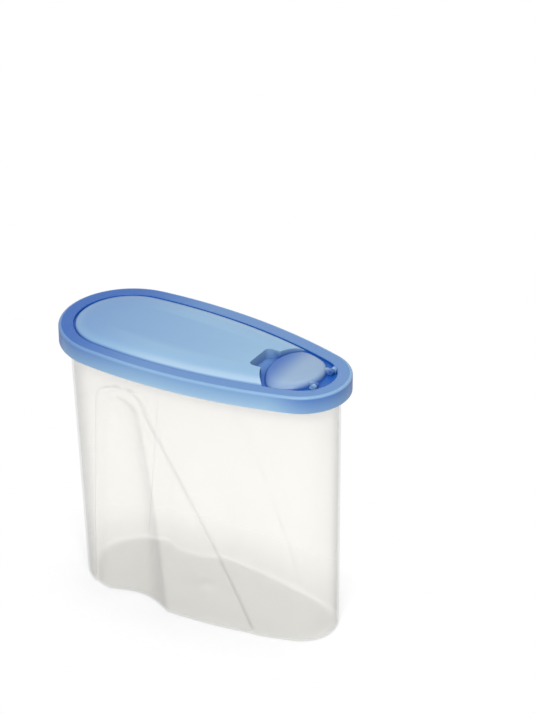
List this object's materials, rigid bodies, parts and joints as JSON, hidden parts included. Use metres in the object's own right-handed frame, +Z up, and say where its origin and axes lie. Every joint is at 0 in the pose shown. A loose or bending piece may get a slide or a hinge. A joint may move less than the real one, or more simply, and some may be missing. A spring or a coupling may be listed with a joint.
{
  "type": "cereal container with flip spout",
  "caption": "Tall egg-plan dry food keeper with side grip hollows, a press-on crowned lid and a hinged pouring flap at its narrow tip.",
  "frame": {"origin": "middle of the object's box on the surface that it stands on", "axes": "+Z up, +X towards the narrow pouring tip, -X towards the wide rear end, and the two grip hollows face +Y and -Y"},
  "size_m": [0.24, 0.1116, 0.2215],
  "materials": {
    "natural_plastic": "satin, natural milky polypropylene that light passes through",
    "blue_plastic": "satin, blue tinted polypropylene",
    "blue_plastic_flap": "satin, blue tinted polypropylene"
  },
  "bodies": {
    "container": {"container_body": "natural_plastic"},
    "lid": {"lid": "blue_plastic"},
    "flap": {"spout_flap": "blue_plastic_flap"}
  },
  "joints": [
    {"name": "lid_lift", "type": "slide", "parent": "container", "child": "lid", "axis": [0, 0, 1], "range_m": [0, 0.06]},
    {"name": "flap_hinge", "type": "hinge", "parent": "lid", "child": "flap", "pos_m": [0.1015, 0, 0.2185], "axis": [0, 1, 0], "range_deg": [0, 135]}
  ]
}
